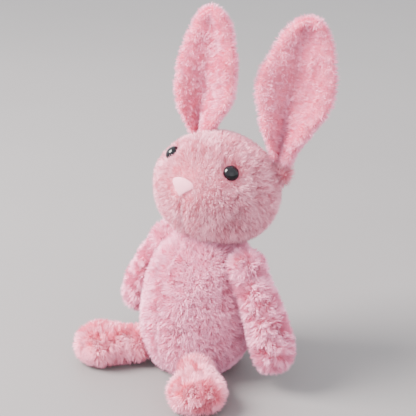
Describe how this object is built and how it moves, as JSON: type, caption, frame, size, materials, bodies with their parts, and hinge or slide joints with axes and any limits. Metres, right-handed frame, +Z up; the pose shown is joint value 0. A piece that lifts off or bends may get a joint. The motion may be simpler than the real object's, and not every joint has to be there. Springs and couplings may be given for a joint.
{
  "type": "plush rabbit",
  "caption": "Long-eared plush rabbit sitting with splayed legs and hanging arms, made of sewn fur panels over soft fill, with limbs, ears and head that turn on cloth roots.",
  "frame": {"origin": "centre of the flat seat under the body", "axes": "+Z up, the face and legs point to -Y, +X is the rabbit's own left"},
  "size_m": [0.1799, 0.1644, 0.2786],
  "materials": {
    "fur": "matte pile",
    "seam_cloth": "matte knit",
    "wadding": "loose fibre",
    "eye_plastic": "polished",
    "washer_plastic": "moulded",
    "nose_cloth": "short nap"
  },
  "bodies": {
    "body": {"body_front_left": "fur", "body_front_right": "fur", "body_back": "fur", "body_fill": "wadding", "tail_skin": "fur", "tail_fill": "wadding"},
    "neck_core": {"neck_fill": "wadding"},
    "neck": {"neck_cloth": "seam_cloth"},
    "head": {"cheek_left": "fur", "cheek_right": "fur", "head_gusset": "fur", "head_fill": "wadding", "eye_left": "eye_plastic", "eye_right": "eye_plastic", "eye_washer_left": "washer_plastic", "eye_washer_right": "washer_plastic", "nose_patch": "nose_cloth", "ear_tab_left": "seam_cloth", "ear_tab_right": "seam_cloth"},
    "ear_left": {"ear_front_left": "fur", "ear_back_left": "fur"},
    "ear_right": {"ear_front_right": "fur", "ear_back_right": "fur"},
    "shoulder_left": {"shoulder_gather_left": "seam_cloth"},
    "arm_left": {"arm_outer_left": "fur", "arm_inner_left": "fur", "arm_fill_left": "wadding"},
    "shoulder_right": {"shoulder_gather_right": "seam_cloth"},
    "arm_right": {"arm_outer_right": "fur", "arm_inner_right": "fur", "arm_fill_right": "wadding"},
    "hip_left": {"hip_gather_left": "seam_cloth"},
    "leg_left": {"leg_outer_left": "fur", "leg_inner_left": "fur", "leg_fill_left": "wadding"},
    "hip_right": {"hip_gather_right": "seam_cloth"},
    "leg_right": {"leg_outer_right": "fur", "leg_inner_right": "fur", "leg_fill_right": "wadding"}
  },
  "joints": [
    {"name": "head_turn", "type": "hinge", "parent": "body", "child": "neck_core", "pos_m": [0, 0.014, 0.096], "axis": [0, 0, 1], "range_deg": [-35, 35]},
    {"name": "head_tilt", "type": "hinge", "parent": "neck_core", "child": "neck", "pos_m": [0, 0.014, 0.096], "axis": [0, 1, 0], "range_deg": [-10, 10]},
    {"name": "head_nod", "type": "hinge", "parent": "neck", "child": "head", "pos_m": [0, 0.014, 0.096], "axis": [1, 0, 0], "range_deg": [-12, 15]},
    {"name": "ear_fold_left", "type": "hinge", "parent": "head", "child": "ear_left", "pos_m": [0.0355, 0.05896, 0.15738], "axis": [0.8555, 0.4903, -0.1664], "range_deg": [-25, 50]},
    {"name": "ear_fold_right", "type": "hinge", "parent": "head", "child": "ear_right", "pos_m": [-0.03938, 0.04844, 0.16467], "axis": [0.9703, 0.0883, -0.2251], "range_deg": [-38, 12]},
    {"name": "arm_swing_left", "type": "hinge", "parent": "body", "child": "shoulder_left", "pos_m": [0.0425, 0.013, 0.088], "axis": [-1, 0, 0], "range_deg": [-35, 75]},
    {"name": "arm_spread_left", "type": "hinge", "parent": "shoulder_left", "child": "arm_left", "pos_m": [0.0425, 0.013, 0.088], "axis": [0, -1, 0], "range_deg": [0, 62]},
    {"name": "arm_swing_right", "type": "hinge", "parent": "body", "child": "shoulder_right", "pos_m": [-0.0425, 0.013, 0.088], "axis": [-1, 0, 0], "range_deg": [-35, 75]},
    {"name": "arm_spread_right", "type": "hinge", "parent": "shoulder_right", "child": "arm_right", "pos_m": [-0.0425, 0.013, 0.088], "axis": [0, 1, 0], "range_deg": [0, 62]},
    {"name": "leg_swing_left", "type": "hinge", "parent": "body", "child": "hip_left", "pos_m": [0.03155, -0.02994, 0.0145], "axis": [0, 0, 1], "range_deg": [-20, 22]},
    {"name": "leg_lift_left", "type": "hinge", "parent": "hip_left", "child": "leg_left", "pos_m": [0.03155, -0.02994, 0.0145], "axis": [-0.6884, -0.7254, 0], "range_deg": [-50, 38]},
    {"name": "leg_swing_right", "type": "hinge", "parent": "body", "child": "hip_right", "pos_m": [-0.03155, -0.02994, 0.0145], "axis": [0, 0, -1], "range_deg": [-20, 22]},
    {"name": "leg_lift_right", "type": "hinge", "parent": "hip_right", "child": "leg_right", "pos_m": [-0.03155, -0.02994, 0.0145], "axis": [-0.6884, 0.7254, 0], "range_deg": [-50, 38]}
  ]
}
